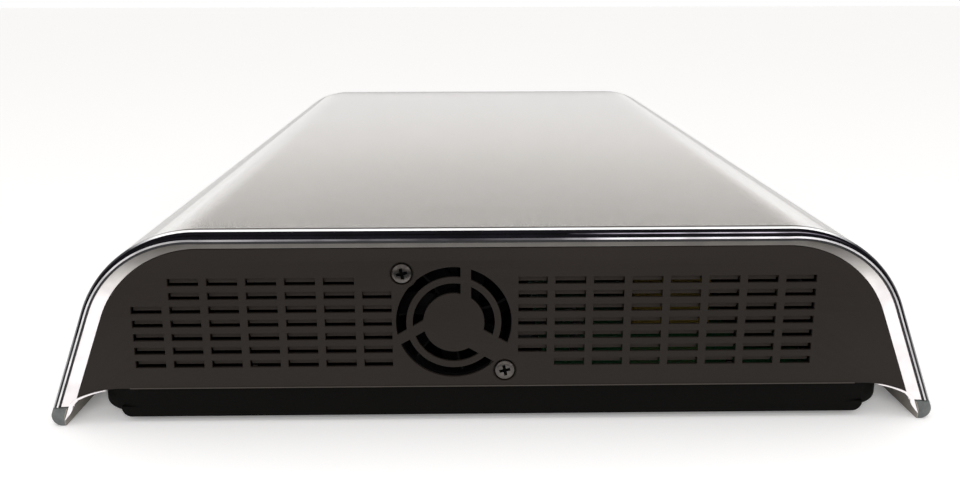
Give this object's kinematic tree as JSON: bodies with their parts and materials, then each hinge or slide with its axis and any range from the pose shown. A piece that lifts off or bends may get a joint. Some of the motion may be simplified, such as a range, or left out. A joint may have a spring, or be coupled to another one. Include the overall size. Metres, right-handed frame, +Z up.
{
  "type": "cable tv recorder",
  "caption": "Bridge-shaped set-top recorder: clear flared shell over a black vented body, fan end, rear cable bay, disk drive and boards inside.",
  "frame": {"origin": "on the floor below the middle of the shell", "axes": "+X to the fan end, -Y to the front, +Z up"},
  "size_m": [0.37, 0.2556, 0.058],
  "materials": {
    "black_anodised": "black anodised",
    "black_plastic": "moulded",
    "black_steel": "black coated",
    "board_green": "solder mask",
    "card_white": "laminated",
    "cast_aluminium": "fine cast",
    "clear_acrylic": "clear, polished",
    "gloss_black": "high gloss",
    "grey_elastomer": "soft, matte",
    "ivory_plastic": "moulded",
    "lead_jacket": "cable jacket",
    "nickel_plate": "bright nickel",
    "platter_mirror": "mirror polished",
    "ribbon_grey": "flat cable",
    "satin_black": "fine satin texture",
    "sleeve_blue": "shrink sleeve",
    "smoked_window": "smoked, polished",
    "winding_tape": "tape wrapped",
    "zinc_steel": "zinc plated"
  },
  "bodies": {
    "recorder": {"audio_sockets": "black_plastic", "base_tray": "black_steel", "card_end_panel": "satin_black", "card_reader": "ivory_plastic", "case_screw_1": "black_steel", "case_screw_2": "black_steel", "case_screw_3": "black_steel", "case_screw_4": "black_steel", "clear_shell": "clear_acrylic", "display_module": "black_plastic", "display_window": "smoked_window", "drive_board": "board_green", "drive_cable": "lead_jacket", "drive_housing": "cast_aluminium", "drive_lid": "zinc_steel", "drive_screw_1": "zinc_steel", "drive_screw_2": "zinc_steel", "drive_screw_3": "zinc_steel", "drive_screw_4": "zinc_steel", "drive_tray": "zinc_steel", "fan_end_baffle_front": "black_plastic", "fan_end_baffle_rear": "black_plastic", "fan_end_panel": "satin_black", "fan_frame": "black_plastic", "fan_lead": "lead_jacket", "fan_screw_lower": "black_steel", "fan_screw_upper": "black_steel", "front_board": "board_green", "front_foot_strip": "grey_elastomer", "front_ribbon": "ribbon_grey", "hdmi_socket": "nickel_plate", "heatsink": "black_anodised", "main_board": "board_green", "mains_inlet": "black_plastic", "mains_switch_body": "black_plastic", "network_socket": "nickel_plate", "optical_socket": "black_plastic", "power_supply_board": "board_green", "power_switch": "black_plastic", "rear_bezel": "black_plastic", "rear_foot_strip_left": "grey_elastomer", "rear_foot_strip_right": "grey_elastomer", "rear_panel": "black_steel", "rf_input_socket": "nickel_plate", "rf_output_socket": "nickel_plate", "supply_capacitor": "sleeve_blue", "supply_lead": "lead_jacket", "top_cover": "gloss_black", "transformer": "winding_tape", "tuner_can": "zinc_steel", "usb_flap_pin": "zinc_steel", "usb_socket_side": "nickel_plate"},
    "fan_rotor": {"fan_rotor": "black_plastic"},
    "power_button": {"power_button": "gloss_black"},
    "mains_rocker": {"mains_rocker": "black_plastic"},
    "usb_flap": {"usb_flap": "satin_black"},
    "smart_card": {"smart_card": "card_white"},
    "drive_platters": {"drive_platters": "platter_mirror"},
    "drive_arm": {"drive_arm": "cast_aluminium"}
  },
  "joints": [
    {"name": "fan_spin", "type": "hinge", "parent": "recorder", "child": "fan_rotor", "pos_m": [0.1736, -0.0115, 0.0305], "axis": [1, 0, 0], "continuous": true},
    {"name": "power_press", "type": "slide", "parent": "recorder", "child": "power_button", "axis": [0, 0.9354, -0.3535], "range_m": [0, 0.0008], "stiffness_N_per_m": 300},
    {"name": "mains_rock", "type": "hinge", "parent": "recorder", "child": "mains_rocker", "pos_m": [0.111, 0.09938, 0.0174], "axis": [1, 0, 0], "range_deg": [-22, 0]},
    {"name": "usb_flap_hinge", "type": "hinge", "parent": "recorder", "child": "usb_flap", "pos_m": [-0.1831, -0.0115, 0.0214], "axis": [0, -1, 0], "range_deg": [0, 90]},
    {"name": "card_slide", "type": "slide", "parent": "recorder", "child": "smart_card", "axis": [-1, 0, 0], "range_m": [0, 0.06]},
    {"name": "platter_spin", "type": "hinge", "parent": "recorder", "child": "drive_platters", "pos_m": [-0.1127, -0.04698, 0.0168], "axis": [0, 0, 1], "continuous": true},
    {"name": "drive_arm_swing", "type": "hinge", "parent": "recorder", "child": "drive_arm", "pos_m": [-0.0667, -0.07898, 0.0168], "axis": [0, 0, 1], "range_deg": [-15, 8]}
  ]
}
